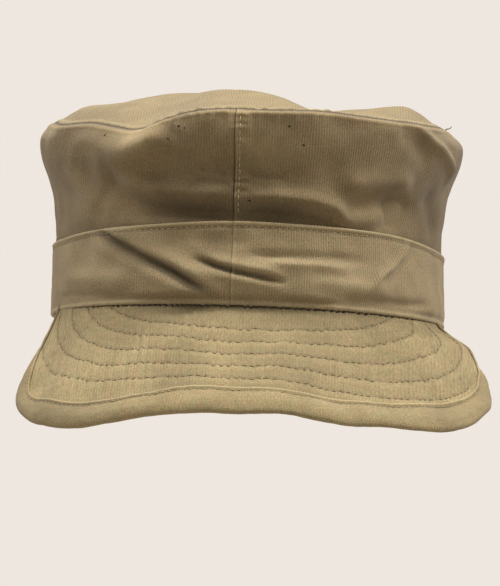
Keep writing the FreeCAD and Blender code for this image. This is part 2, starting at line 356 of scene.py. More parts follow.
# Folds of the crown's side: path in degrees round and millimetres up, width, depth, kind.
CROWN_FOLDS = [
    ([(-40, 48), (-28, 42), (-14, 39), (2, 38)], 4.4, 3.8, "step"),
    ([(-4, 38.4), (8, 38.8), (18, 37.6), (30, 34)], 3.8, 3.8, "step"),
    ([(-3.4, 48), (1.8, 48.3)], 1.0, -0.9, "bell"),
    ([(-3.4, 44), (1.8, 44.3)], 1.0, -0.8, "bell"),
    ([(-1.5, 51.6), (5, 51.2), (12, 50)], 1.6, -1.2, "bell"),
    ([(-14, 53), (-8, 52.6), (-3, 51.2)], 1.7, -1.0, "bell"),
    ([(-14, 48.4), (-8, 47.4), (-3, 46)], 1.6, -1.0, "bell"),
    ([(24, 42.5), (33, 45.6), (42, 48.4), (54, 51)], 4.6, 3.4, "step"),
    ([(22, 35), (30, 37), (38, 39), (46, 41.5)], 5.8, 3.2, "bell"),
    ([(37, 31), (42, 35), (49, 41), (57, 48)], 3.8, -1.6, "bell"),
    ([(-60, 77), (-44, 73), (-33, 71), (-24, 72), (-10, 75)], 6.0, -2.4, "bell"),
    ([(-40, 52), (-33, 57), (-25, 62), (-18, 65)], 6.5, 2.4, "bell"),
    ([(-46, 55), (-37, 54), (-28, 55.5), (-18, 59)], 6.5, 1.8, "step"),
    ([(-18, 70), (-21, 63), (-25, 57)], 5.0, -1.4, "bell"),
    ([(-62, 60), (-56, 52), (-49, 44), (-43, 36)], 3.2, 1.3, "bell"),
    ([(-55, 62), (-50, 54), (-44, 46)], 5.5, -0.9, "bell"),
    ([(43, 80), (47, 76.5), (53, 73.3), (60, 69.8), (70, 65), (78, 61)], 2.8, 2.4, "bell"),
    ([(40, 73), (48, 69), (58, 63)], 4.0, -1.2, "bell"),
    ([(60, 54), (66, 44), (68, 32)], 6.0, -1.8, "bell"),
    ([(-70, 70), (-78, 56), (-78, 42)], 5.0, -1.0, "bell"),
    ([(104, 76), (116, 60), (120, 44)], 6.0, -1.4, "bell"),
    ([(140, 78), (150, 60), (146, 42)], 7.0, 1.5, "bell"),
    ([(-108, 76), (-118, 60), (-114, 42)], 6.5, 1.5, "bell"),
    ([(-140, 74), (-152, 56), (-160, 44)], 6.0, -1.5, "bell"),
    ([(165, 44), (180, 40), (196, 45)], 5.0, -1.2, "bell"),
]
# Paler (above zero) and darker (below zero) places: see patches. The darker ones are painted
# shade, over the hollow above the band at the front, the middle of the front and the low right
# side; the one at -29 degrees is a painted highlight on the high spot at the front left.
CROWN_PAINTED_LIGHT_AND_WEAR = [
    (38, 3.5, -16, 14, -0.45), (38, 3.5, 10, 13, -0.45), (50, 11, -6, 17, -0.2),
    (44, 12, 66, 12, -0.5), (60, 9, 3, 5, 0.4), (63, 5, -29, 5, 1.0),
    (40, 4, 34, 9, 0.5), (64, 8, 9, 9, 0.3),
]
# The wall's foot: how far out of the rim's oval it stands, and its height inside the band; then
# about how high the wall rises from there.
CROWN_FOOT = -1.5
WALL_START = BAND_TOP - 3
WALL_HEIGHT = 46.0
crown_slack = swell(46)
crown_ripple = swell(17)
pucker_front = swell(4.2, stretch=3.0)
seam_pucker = swell(5.0)


def seam_height(phi):
    """Height of the top seam round the cap."""
    return round_cap(SEAM_HEIGHTS, phi)


def felled_seam(phi, seam):
    """Cross-section of a felled seam: a groove with a raised flap beside it."""
    u = from_seam(phi, seam)
    flap = ease(u / 0.4) * (1 - ease((u - 5.0) / 3.0))
    groove = bell(u + 0.1, 0.35)
    return 0.45 * flap - 0.45 * groove


def crown_wall(phi, t):
    """Outer surface of the crown's side; t runs from 0 at the band's top to 1 at the seam."""
    top = seam_height(phi)
    z = WALL_START + (top - WALL_START) * t
    grow = CROWN_FOOT + through(FLARE, t) * round_cap(FLARE_ROUND, phi)
    u = phi * GIRTH
    alive = ease(t / 0.12)
    calm_top = 1 - 0.7 * ease((t - 0.85) / 0.15)
    grow = grow + alive * calm_top * (0.7 * crown_slack(u, z) + 0.25 * crown_ripple(u, z))
    # The last fold crosses the back, where the angle starts again.
    bent = wrap_angle(phi)
    folds = creases(bent, z, CROWN_FOLDS) + creases(bent + TURN, z, CROWN_FOLDS[-1:])
    seams = felled_seam(phi, SEAM_PHI) + felled_seam(phi, math.pi)
    grow = grow + alive * (folds + seams)
    # The top corners at the sides turn in, less on the left.
    angle = degrees_round(phi)
    sideways = np.abs(angle)
    rounded = ease((sideways - 56) / 24) * (1 - 0.4 * ease((sideways - 120) / 50))
    turned_in = 5.0 - 2.0 * ease((-angle - 56) / 20)
    grow = grow - turned_in * rounded * ease((t - 0.82) / 0.18) ** 1.6
    # The top seam: cloth gathered below it, a groove at it, a rounded edge under the groove.
    near_top = top - z
    front = bell(degrees_round(phi - SEAM_PHI), 20)
    gather = bell(near_top, 4.5) * (0.1 + 0.32 * front) * pucker_front(u, z)
    grow = grow + gather - 1.6 * bell(near_top, 0.65) + 0.3 * bell(near_top - 1.7, 1.0)
    # The row of stitching beside the front seam pulls the cloth in.
    join = from_seam(phi, SEAM_PHI)
    pull = bell(join - 2.4, 3.4) * alive
    stitch_dent = 0.1 * np.sin(z * TURN / 2.7) + 0.28 * seam_pucker(0.35 * join, z)
    grow = grow + pull * stitch_dent
    # Folds stay clear of the curtain stowed behind the sides and back.
    deepest = -4.2 + 2.6 * ease((sideways - 66) / 10)
    return oval(phi, np.maximum(grow, deepest), z)


def crown_columns(start, end):
    """Angles from one seam to the next, closer together near the seams."""
    near = np.radians(np.arange(0, 4.0, 0.1))
    coarse = math.radians(0.36)
    span = end - start
    middle = np.arange(near[-1] + coarse, span - near[-1] - coarse, coarse)
    return start + np.concatenate([near, middle, (span - near)[::-1]])


def crown_side(name, start, end, node):
    """One side panel, from inside the band's lower edge up to the top seam."""
    phi = crown_columns(start, end)[:, None]
    t = np.concatenate([np.linspace(0, 0.9, 90)[:-1], np.linspace(0.9, 1, 26)])[None, :]
    upper = crown_wall(phi, t)
    foot_z = np.linspace(1.2, WALL_START, 22)[:-1][None, :]
    lower = oval(phi, np.full_like(foot_z, CROWN_FOOT), foot_z)
    points = np.concatenate([lower, upper], axis=1)
    join = from_seam(phi, SEAM_PHI)
    z = points[..., 2]
    below = seam_height(phi) - z
    # Paler on the front seam's flap and the rounded edge under the top seam, for rubbing; painted
    # shade in the front seam's groove and the top seam's groove; then the patches of painted shade
    # and light.
    wear_and_painted_light = 0.4 * bell(join - 0.9, 0.6) + 0.45 * bell(below - 1.7, 0.8)
    wear_and_painted_light = wear_and_painted_light - 0.4 * bell(join + 0.1, 0.3) - 0.95 * bell(below, 0.75)
    wear_and_painted_light = wear_and_painted_light + patches(phi, z, CROWN_PAINTED_LIGHT_AND_WEAR)
    wear_and_painted_light = np.clip(wear_and_painted_light, -1, 1) * (z > WALL_START - 1)
    uv = cloth_uv(phi * GIRTH, walk_rows(points))
    thing = sheet_object(name, points, uv, wear_and_painted_light, turned=True)
    thicken(thing, CROWN_CLOTH)
    return attach(thing, "outer_cloth", node)


# ---- oval top

# The top's middle in plan, the height there, and about how far its edge lies from the middle.
TOP_MIDDLE = np.array([-7.0, -6.0])
TOP_PEAK = 94.8
TOP_REACH = 92.0
# Rises and hollows of the top: place, half-widths, height.
TOP_LUMPS = [
    (66, -50, 17, 22, 3.8), (30, -62, 14, 30, -3.4), (29, -5, 13, 60, -3.2),
    (-60, -34, 22, 34, 2.8), (62, 20, 20, 40, -2.0), (-50, 50, 30, 30, 1.0),
    (5, 70, 34, 18, -2.0), (-66, 4, 20, 30, 1.4), (-30, -8, 26, 40, 2.2),
    (76, -30, 13, 26, 4.6), (-78, -20, 10, 30, 0.8),
]
top_slack = swell(52)
top_ripple = swell(18)


def oval_top(phi, r):
    """The top panel; r runs from 0 in the middle to 1 at the seam."""
    edge = crown_wall(phi, np.ones_like(r))
    xy = TOP_MIDDLE + (edge[..., :2] - TOP_MIDDLE) * r[..., None]
    blend = r ** 2.1
    z = edge[..., 2] * blend + TOP_PEAK * (1 - blend)
    away = (1 - r) * TOP_REACH
    x, y = xy[..., 0], xy[..., 1]
    lumps = sum(high * bell(x - at_x, wide) * bell(y - at_y, long)
                for at_x, at_y, wide, long, high in TOP_LUMPS)
    z = z + ease(away / 14) * (lumps + top_slack(x, y) + 0.2 * top_ripple(x, y))
    front = bell(degrees_round(phi - SEAM_PHI), 24)
    gather = bell(away, 6.0) * (0.08 + 0.4 * front) * pucker_front(phi * GIRTH + 40, away)
    z = z + gather * ease(away / 1.5) + 0.45 * bell(away - 1.8, 1.2)
    return np.concatenate([xy, z[..., None]], axis=-1)


def crown_top():
    """The oval top panel."""
    phi = np.linspace(-math.pi, math.pi, 721)[:-1][None, :]
    away = np.concatenate([np.linspace(0, 8, 22), np.linspace(8, TOP_REACH, 78)[1:]])
    r = np.maximum(1 - away / TOP_REACH, 0.002)[::-1][:, None]
    phi, r = np.broadcast_arrays(phi, r)
    points = oval_top(phi, r)
    away = (1 - r) * TOP_REACH
    # Paler beside the top seam, for rubbing; painted shade in the seam's groove.
    wear_and_painted_light = 0.5 * bell(away - 1.8, 1.0) - bell(away, 0.7)
    thing = sheet_object("crown_top_panel", points, points[..., :2], wear_and_painted_light, wrap=True, turned=True)
    thicken(thing, CROWN_CLOTH)
    return attach(thing, "outer_cloth", "crown_top")


# ---- band

# Height of the band's top edge by degrees round.
BAND_HEIGHTS = [
    (-180, 33), (-90, 30.4), (-67, 29.8), (-43, 30.9), (-26, 31.4), (-3, 32.6), (15, 32.5),
    (30, 32.5), (48, 32.2), (64, 30.8), (90, 30), (135, 32.4),
]
# Folds of the band, as for the crown.
BAND_FOLDS = [
    ([(-49, 34), (-45, 30.6), (-36, 24.5), (-28, 19), (-18, 12.4), (-11, 6.7), (-4, 0.5)],
     2.5, 3.8, "tuck"),
    ([(-14, 18.5), (-10, 16.7), (-6, 14.5), (-1, 12.8), (4, 11.5), (13, 9)], 1.7, 2.3, "tuck"),
    ([(-20, 27), (-8, 25.5), (4, 24)], 2.4, -0.9, "bell"),
    ([(-62, 13), (-46, 11), (-32, 10), (-22, 6)], 3.6, 1.6, "bell"),
    ([(-74, 5), (-50, 4.2), (-26, 3.2)], 2.0, -1.3, "bell"),
    ([(-1, 20), (7, 19.4), (17, 19.8), (26, 20.4), (38, 20)], 1.7, -1.7, "bell"),
    ([(4, 16.4), (18, 16.8), (32, 16)], 2.4, 1.4, "bell"),
    ([(53, 33), (48, 24.8), (44, 19.7), (39, 14.6), (35, 7)], 1.8, 2.1, "bell"),
    ([(56, 30), (52, 24), (48, 18), (43, 11)], 1.4, -1.4, "bell"),
    ([(20, 4), (38, 4.3), (52, 5), (66, 7.5)], 2.0, -1.9, "bell"),
    ([(16, 10.5), (30, 10), (46, 9.5)], 2.8, 1.0, "bell"),
    ([(72, 30), (70, 16), (78, 4)], 4.0, 0.8, "bell"),
    ([(105, 30), (120, 14), (132, 6)], 4.5, 0.9, "step"),
    ([(-86, 28), (-98, 14), (-120, 8)], 4.0, -0.6, "bell"),
    ([(150, 24), (164, 16), (176, 14)], 4.0, -0.8, "bell"),
    ([(-150, 28), (-160, 16), (-174, 10)], 4.5, 0.8, "step"),
]
# Rubbed place, as for the crown, and how far the stitching runs below the top edge.
BAND_WEAR = [(15, 9, 28, 26, 0.35)]
ROW_BELOW = 2.1
band_slack = swell(38)
band_ripple = swell(13)


def band_top(phi):
    """Height of the band's folded top edge."""
    return round_cap(BAND_HEIGHTS, phi)


def band_wall(phi, z):
    """Outer surface of the band at a height."""
    top = band_top(phi)
    angle = degrees_round(phi)
    raised = ease(z / BAND_TOP)
    left = bell(angle + 90, 40)
    front = bell(angle, 50) * ease(z / 5) * (1 - ease((z - 4) / (top - 4)) * 0.9)
    grow = 0.2 - 0.5 * raised - 1.1 * left * (1 - raised) + 3.2 * front
    held = ease(z / 5) * ease((top - z) / 5)
    u = phi * GIRTH
    grow = grow + held * (0.35 * band_slack(u, z) + 0.2 * band_ripple(u, z))
    grow = grow + ease(z / 3) * ease((top - z) / 2.5) * creases(wrap_angle(phi), z, BAND_FOLDS)
    lip = bell(z - 0.9, 0.8) * (0.35 + 0.65 * bell(angle, 62))
    hollow = bell(z - 2.5, 0.7)
    row = bell(top - z - ROW_BELOW, 0.55)
    fold = bell(top - z - 0.6, 0.8)
    grow = grow + 0.75 * lip - 0.35 * hollow - 0.4 * row + 0.3 * fold
    join = from_seam(phi, SEAM_PHI)
    grow = grow - 0.3 * bell(join, 0.4) + 0.2 * ease(join / 0.5) * (1 - ease((join - 6) / 4))
    grow = grow - 0.3 * bell(from_seam(phi, math.pi), 0.4)
    return oval(phi, np.maximum(grow, -0.5), z)


def band_half(name, start, end, node):
    """Half of the band as a folded strip of cloth with round edges."""
    phi = crown_columns(start, end)[:, None]
    top = band_top(phi)
    edge = BAND_CLOTH / 2
    # The rows are closer together near the two edges.
    swing = np.cos(np.linspace(0, math.pi, 46))[None, :]
    share = 0.5 - 0.5 * swing * (0.55 + 0.45 * np.abs(swing))
    z = edge + (top - 2 * edge) * share
    outside = band_wall(phi, z)
    out_dir = unit(outside * [1 / RIM_X ** 2, 1 / RIM_Y ** 2, 0])
    turn = np.linspace(0, math.pi, 7)[1:-1][None, :, None]
    up = np.array([0, 0, 1.0])

    def round_edge(centre_point, direction, lift):
        middle = centre_point - direction * edge
        return middle + edge * (np.cos(turn) * direction + np.sin(turn) * up * lift)

    top_round = round_edge(outside[:, -1:], out_dir[:, -1:], 1)
    bottom_round = round_edge(outside[:, :1], out_dir[:, :1], -1)[:, ::-1]
    inner_z = np.linspace(1, 0, 8)[None, :] * (top - 2 * edge) + edge
    inner = oval(phi, -BAND_CLOTH + 0 * inner_z, inner_z)
    inner[:, 0] = outside[:, -1] - out_dir[:, -1] * 2 * edge
    inner[:, -1] = outside[:, 0] - out_dir[:, 0] * 2 * edge
    loops = np.concatenate([bottom_round, outside, top_round, inner], axis=1)
    z = loops[..., 2]
    below = top - z
    join = from_seam(phi, SEAM_PHI)
    # Paler along the folded top edge, the lower lip and the seam's flap, for rubbing; painted
    # shade in the seam's groove, under the stitching row, in the hollow above the lip and along
    # the sharp folds.
    wear_and_painted_light = 0.9 * bell(below - 0.3, 0.8) + 0.8 * bell(z - 0.7, 0.9)
    wear_and_painted_light = wear_and_painted_light + 0.4 * bell(join - 0.9, 0.6) - 0.35 * bell(join, 0.3)
    wear_and_painted_light = wear_and_painted_light - 0.65 * bell(below - ROW_BELOW, 0.5) - 0.15 * bell(z - 2.4, 0.5)
    wear_and_painted_light = wear_and_painted_light + crease_painted_shade(phi, z, BAND_FOLDS) + patches(phi, z, BAND_WEAR)
    uv = cloth_uv(phi * GIRTH, walk_rows(loops))
    thing = roll_object(name, loops, uv, np.clip(wear_and_painted_light, -1, 1))
    return attach(thing, "outer_cloth", node)


# ---- visor

# The plain visor is part of the cone through the rim whose tip lies this far back and up.
CONE_BACK = 112.0
CONE_RISE = 200.0
# The outline in plan: the front arc's radius and its centre's y, and the corners' radius.
ARC_RADIUS = 94.0
ARC_CENTRE = -54.5
CORNER_RADIUS = 28.0
# Each side of the outline: middle of the corner's arc, lean at the corner, lean at the rim,
# length.
LEFT_SIDE = (57.5, math.radians(6), math.radians(22), 50.0)
RIGHT_SIDE = (62.0, math.radians(0), math.radians(34), 62.0)
# How far inside the rim's oval the cloths are sewn on and the outline ends.
SEWN_INSIDE = 0.9
ENDS_INSIDE = 1.6
# The binding's width on the top, and where it is sewn: distance in from the outline, height
# above the top cloth.
BINDING = 10.0
BINDING_SEWN = (8.5, 0.62)
BINDING_COLUMNS = 520
# The nested rows of stitching: the inner one's radius, their spacing, their number, and how much
# wider they sit on the right.
ROW_RADIUS = 58.5
ROW_STEP = 5.3
ROWS = 5
ROW_SKEW = 0.07
visor_slack = swell(34)
visor_ripple = swell(6.0)
visor_ridges = swell(2.6)
# By degrees from the visor's front, on either side: the binding's share of its width in plan,
# and how far its edge hangs below the plain cone.
BINDING_SHARE = [(0, 1), (30, 0.98), (50, 0.93), (64, 0.95), (71, 0.98), (77, 0.8), (84, 0.5),
                 (92, 0.28), (102, 0.16), (125, 0.12)]
SIDE_DROP = [(0, 0), (55, 0), (65, 0.2), (75, 0.8), (83, 1.8), (92, 3.2), (102, 3.6), (125, 3.6)]
# By degrees from the front, left below zero: how far the edge stands above the cone.
EDGE_LIFT = [(-90, 0), (-30, 0), (0, 1.4), (20, 2.8), (40, 2.7), (58, 1.2), (72, 0.4), (85, 0)]


def cone_height(x, y):
    """Height of the plain visor cone over a point of the plan."""
    a = (CONE_BACK / RIM_Y) ** 2 - 1
    b = 2 * CONE_BACK * (y - CONE_BACK) / RIM_Y ** 2
    c = (x / RIM_X) ** 2 + ((y - CONE_BACK) / RIM_Y) ** 2
    growth = (-b - np.sqrt(np.maximum(b * b - 4 * a * c, 0))) / (2 * a)
    return -CONE_RISE * (growth - 1)


def half_outline(corner_x, lean, last_lean, length):
    """Half of the visor's outline in plan, from the middle of the front to the temple."""
    drop = math.sqrt((ARC_RADIUS - CORNER_RADIUS) ** 2 - corner_x ** 2)
    swing = math.atan2(drop, corner_x)
    front = np.linspace(-math.pi / 2, -swing, 200)
    points = [np.stack([ARC_RADIUS * np.cos(front), ARC_CENTRE + ARC_RADIUS * np.sin(front)], 1)]
    corner = np.linspace(-swing, lean, 60)[1:]
    points.append(np.stack([
        corner_x + CORNER_RADIUS * np.cos(corner),
        ARC_CENTRE - drop + CORNER_RADIUS * np.sin(corner),
    ], 1))
    steps = 100
    heading = np.linspace(lean, last_lean, steps)
    side = np.cumsum(np.stack([-np.sin(heading), np.cos(heading)], 1), axis=0) * length / steps
    points.append(points[-1][-1] + side)
    return np.concatenate(points)


def outline(count):
    """The visor's outline in plan, from the left temple round the front to the right."""
    left = half_outline(*LEFT_SIDE) * [-1, 1]
    whole = np.concatenate([left[:0:-1], half_outline(*RIGHT_SIDE)])
    whole = whole[((whole / [RIM_X - ENDS_INSIDE, RIM_Y - ENDS_INSIDE]) ** 2).sum(axis=1) > 1]
    travelled = walk(whole)
    return on_line(np.linspace(0, travelled[-1], count), travelled, whole)


def around_visor(x, y):
    """Angle and distance of a point of the plan, seen from the front arc's centre."""
    return np.arctan2(x, ARC_CENTRE - y), np.hypot(x, y - ARC_CENTRE)


def skewed(x):
    """The nested rows sit a little wider on the right."""
    return x * (1 + ROW_SKEW * ease(x / 50))


def row_reach(x, y):
    """Distance of a point of the plan from the middle of the nested rows of stitching."""
    even = np.linspace(-150, 150, 601)
    return np.hypot(np.interp(x, skewed(even), even), np.minimum(y - ARC_CENTRE, 0))


def side_share(turn):
    """How much of its width the binding keeps in plan: less at the sides, where it hangs down."""
    angle = np.degrees(turn)
    narrower = 0.26 * ease((-angle - 5) / 25) + 0.24 * bell(angle - 72, 13)
    return through(BINDING_SHARE, np.abs(angle)) * (1 - narrower) - 0.2 * bell(angle + 74, 13)


def visor(x, y, lift=0.0):
    """A point of the visor's worn top cloth, or so far above it, over a point of the plan."""
    z = cone_height(x, y)
    deep = ease(-z / 42)
    # The worn corners: spread to the sides, raised at the edge and sagging beside it.
    wide = 10.5 * ease(-z / 11) * ease((x - 45) / 46) - 2.0 * deep * ease((-x - 50) / 36)
    raised = 5.5 * ease((x - 70) / 22) + 2.8 * ease((x - 79) / 10) + 6.0 * ease((-x - 74) / 13)
    high = deep * (raised - 3.6 * bell(x - 50, 28) - 3.9 * bell(x + 62, 24))
    # The edge, which hangs down at the sides.
    turn, r = around_visor(x, y)
    angle = np.degrees(turn)
    gap = np.interp(turn, EDGE_TURN, EDGE_REACH) - r
    share = side_share(turn)
    bend = np.clip(1.5 - gap / (BINDING * share), 0, 1.6)
    drop = through(SIDE_DROP, np.abs(angle)) * (1 - 0.6 * bell(angle - 80, 13))
    high = high - drop * bend ** 2 * ease(-z / 9)
    high = high + deep * through(EDGE_LIFT, angle) * np.clip(1 - gap / BINDING, 0, 1.2)
    # Slack cloth, grooves under the rows of stitching and small ridges between them.
    away = np.clip(-z / 6, 0, 1)
    calm = 1 - 0.7 * ease((np.abs(turn) - 1.2) / 0.4)
    high = high + away * calm * 0.45 * visor_slack(x, y)
    out = row_reach(x, y) - ROW_RADIUS
    rows = sum(bell(out - index * ROW_STEP, 0.42) for index in range(ROWS))
    sewn = ease((out + 10) / 6) * (1 - ease((out - ROWS * ROW_STEP) / 6))
    high = high - 0.3 * rows * away * sewn
    ridges = 0.24 * visor_ridges(x, 0.12 * y) + 0.1 * visor_ripple(x, y)
    flat = ease((gap / share - BINDING - 0.5) / 5)
    high = high + away * flat * (0.35 + 0.65 * sewn) * ridges + lift
    return np.stack(np.broadcast_arrays(x + wide, y, z + high), axis=-1)


def visor_normals(x, y):
    """Normals of the visor's top cloth, pointing up and out."""
    return surface_normals(visor, x, y)


def beyond_rim(x, y, growth):
    """Whether points of the plan lie outside the rim's oval, its area grown by a factor."""
    return (x / RIM_X) ** 2 + (y / RIM_Y) ** 2 > growth


def rim_plan(count):
    """Points on the rim's oval in plan, where the visor is sewn on."""
    ends = outline(200)[[0, -1]] / [RIM_X, -RIM_Y]
    first, last = np.arctan2(ends[:, 0], ends[:, 1])
    return oval(np.linspace(first, last, count), -SEWN_INSIDE, 0)[:, :2]


def inset(line, distance):
    """A plan outline moved inwards, by less where the edge hangs down."""
    ahead = unit(np.gradient(line, axis=0))
    inward = np.stack([-ahead[:, 1], ahead[:, 0]], axis=1)
    share = side_share(around_visor(line[:, 0], line[:, 1])[0])
    return line + inward * (distance * share)[:, None]


EDGE_TURN, EDGE_REACH = around_visor(*outline(900).T)


def visor_sheet(name, lift, *nodes):
    """One cloth of the visor, from the rim to just inside the rolled edge."""
    rows, columns = 150, 460
    outer = inset(outline(columns), 2.4)
    inner = rim_plan(columns)
    share = np.linspace(0, 1, rows)[:, None]
    plan = inner * (1 - share[..., None]) + outer * share[..., None]
    x, y = plan[..., 0], plan[..., 1]
    from_rim = share * 30
    scallop = 1 + 0.45 * visor_ridges(1.4 * x[:1], 0 * x[:1])
    points = visor(x, y, lift - 0.8 * bell(from_rim, 1.3) * scallop)
    out = row_reach(x, y) - ROW_RADIUS
    past_row = [out - index * ROW_STEP for index in range(ROWS)]
    # Painted shade in the groove of each row of stitching, with a paler strip just outside it;
    # painted shade along the rim under the band's lip, on the top cloth, and over the middle of
    # the visor.
    wear_and_painted_light = sum(0.25 * bell(past - 1.3, 0.8) - 0.24 * bell(past, 0.4) for past in past_row)
    if lift == 0:
        wear_and_painted_light = wear_and_painted_light - bell(from_rim, 0.5) * scallop
    wear_and_painted_light = np.clip(wear_and_painted_light - 0.2 * bell(x - 8, 52), -1, 1)
    thing = sheet_object(name, points, cloth_uv(x, out * 1.35), wear_and_painted_light, turned=True)
    thicken(thing, VISOR_CLOTH)
    return attach(thing, "visor_cloth", *nodes)


def binding_section():
    """The binding's section: (distance in from the outline, height above the top cloth)."""
    fold_in = [(9.0, 0.05), (9.7, 0.15), (10.1, 0.45), (10.05, 0.8), (9.6, 1.05), (9.1, 0.95)]
    top = [BINDING_SEWN, (7.8, 0.72), (6.4, 0.9), (5.0, 0.92), (3.6, 0.78), (2.4, 0.42),
           (1.4, -0.1)]
    edge = [(0.65, -0.75), (0.2, -1.45), (0.15, -2.1), (0.5, -2.7), (1.3, -3.05)]
    under = [(3.0, -3.15), (6.0, -3.05), (8.4, -2.95), (9.1, -2.75), (8.6, -2.5), (6.0, -2.45)]
    back = [(3.2, -2.4), (2.3, -1.9), (2.0, -1.2), (2.6, -0.4), (4.0, 0.0), (6.4, 0.08)]
    return np.array(fold_in + top + edge + under + back)


def smooth_section(section, count):
    """A closed section resampled along a smooth curve."""
    closed = np.concatenate([section[-2:], section, section[:2]])
    place = walk(closed)
    return on_curve(np.linspace(place[2], place[-2], count + 1)[:-1], place, closed)


def visor_binding():
    """The strip folded over the visor's edge."""
    line = outline(BINDING_COLUMNS)
    section = smooth_section(binding_section(), 84)
    plan = np.stack([inset(line, distance) for distance in section[:, 0]], axis=1)
    slack = swell(16)
    small = swell(5)
    along = walk(line)[:, None]
    across = walk(section)[None, :]
    puff = 0.12 * slack(along, across) + 0.05 * small(along, across)
    x, y = plan[..., 0], plan[..., 1]
    inward, height = section.T
    points = visor(x, y) + visor_normals(x, y) * (height + puff)[..., None]
    # Paler along the fold and the rolled outer edge, for rubbing; painted shade in a line beside
    # the stitching and towards the visor's left and right sides.
    fold = 0.9 * bell(inward - 9.9, 0.6) - 0.5 * bell(inward - 8.6, 0.4)
    wear_and_painted_light = fold * (height > 0.3) + 0.4 * bell(inward - 0.6, 1.0)
    wear_and_painted_light = wear_and_painted_light - 0.3 * ease((-x - 25) / 35) - 0.2 * ease((x - 25) / 35)
    thing = roll_object("visor_edge_binding", points, cloth_uv(along, across), wear_and_painted_light)
    return attach(thing, "visor_cloth", "visor_binding")


def visor_rows():
    """Five rows of stitching, each an arc about the front arc's centre."""
    fold_turn, fold_reach = around_visor(*inset(outline(BINDING_COLUMNS), BINDING).T)
    turn = np.linspace(-math.pi / 2, math.pi / 2, 900)
    straight = np.linspace(0, 40, 120)[1:]
    side = np.ones_like(straight)
    made = []
    for index in range(ROWS):
        radius = ROW_RADIUS + index * ROW_STEP
        x = skewed(radius * np.concatenate([-side, np.sin(turn), side]))
        y = ARC_CENTRE - np.concatenate([-straight[::-1], radius * np.cos(turn), -straight])
        seen, reach = around_visor(x, y)
        inside_fold = reach < np.interp(seen, fold_turn, fold_reach) - 1.5
        kept = beyond_rim(x, y, 1.004) & inside_fold
        x, y = x[kept], y[kept]
        thing = stitches(f"visor_stitches_{index + 1}", visor(x, y), visor_normals(x, y),
                         pitch=3.0, length=2.0, radius=0.18, lift=0.4, skip=0.12)
        made.append(attach(thing, "thread", f"visor_stitch_row_{index + 1}"))
    return made


def binding_stitches():
    """The row that holds the binding's fold."""
    inward, height = BINDING_SEWN
    x, y = inset(outline(BINDING_COLUMNS), inward).T
    kept = beyond_rim(x, y, 1.01)
    x, y = x[kept], y[kept]
    normals = visor_normals(x, y)
    thing = stitches("binding_stitches", visor(x, y) + normals * height, normals,
                     pitch=2.6, length=1.8, radius=0.16, lift=0.4)
    return attach(thing, "thread", "visor_binding_stitching")


# ---- stitching on crown and band

def band_stitches():
    """The row under the band's top edge."""
    phi = np.linspace(-math.pi, math.pi, 2400)
    z = band_top(phi) - ROW_BELOW
    normals = surface_normals(lambda u, v: band_wall(u / GIRTH, v), phi * GIRTH, z)
    thing = stitches("band_edge_stitches", band_wall(phi, z), normals,
                     pitch=2.6, length=1.9, radius=0.2, lift=0.6)
    return attach(thing, "thread", "band_stitching")


def crown_normals(phi, t):
    """Normals of the crown's wall, pointing out."""
    return surface_normals(lambda u, v: crown_wall(u / GIRTH, v / WALL_HEIGHT),
                           phi * GIRTH, t * WALL_HEIGHT)


def seam_stitches(name, seam, node):
    """The row beside a felled seam of the crown."""
    t = np.linspace(0.1, 0.985, 400)
    phi = np.full_like(t, seam + 2.1 / GIRTH)
    thing = stitches(name, crown_wall(phi, t), crown_normals(phi, t),
                     pitch=2.7, length=1.9, radius=0.22, lift=0.6)
    return attach(thing, "thread", node)


def specks(name, centres, normals, radius, height):
    """Small flat lozenges lying on the cloth: pin marks or lint."""
    sides = 8
    turn = np.arange(sides) * TURN / sides
    points, faces = [], []
    for centre, up in zip(centres, normals):
        first = unit(np.cross(up, [0.2, 0.1, 1.0]))
        second = np.cross(up, first)
        long = radius * RNG.uniform(0.7, 1.4)
        wide = radius * RNG.uniform(0.6, 1.1)
        base = len(points) * (sides + 2)
        rim = centre + long * np.cos(turn)[:, None] * first + wide * np.sin(turn)[:, None] * second
        points.append(np.concatenate([rim, [centre + up * height, centre - up * height]]))
        for k in range(sides):
            after = (k + 1) % sides
            faces.append((base + k, base + after, base + sides))
            faces.append((base + after, base + k, base + sides + 1))
    points = np.concatenate(points)
    return make_object(name, points, faces, points[:, :2])


# Pin marks on the front of the crown: degrees round, millimetres up.
PIN_MARKS = np.array([(-20, 64.2), (-17.2, 69), (11, 69.9), (15, 63), (-40, 67.6), (1.6, 40.5),
                      (-15.6, 68.2)])


def pin_marks():
    """Small dark specks standing for holes left by pinned badges, the holes' shade painted on
    them.
    """
    def wall(u, v):
        return crown_wall(u / GIRTH, (v - WALL_START) / (seam_height(u / GIRTH) - WALL_START))

    u = np.radians(PIN_MARKS[:, 0]) * GIRTH
    z = PIN_MARKS[:, 1]
    thing = specks("pin_marks", wall(u, z), surface_normals(wall, u, z), radius=0.6, height=0.12)
    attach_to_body(thing, "cap")
    return thing


def lint():
    """A few pale bits of fluff caught in the visor's rows."""
    count = 4
    turn = RNG.uniform(-0.9, 0.9, count)
    radius = ROW_RADIUS + RNG.integers(0, ROWS, count) * ROW_STEP + RNG.uniform(-1, 1, count)
    x, y = radius * np.sin(turn), ARC_CENTRE - radius * np.cos(turn)
    thing = specks("lint", visor(x, y), visor_normals(x, y), radius=0.32, height=0.12)
    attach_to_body(thing, "cap")
    return thing


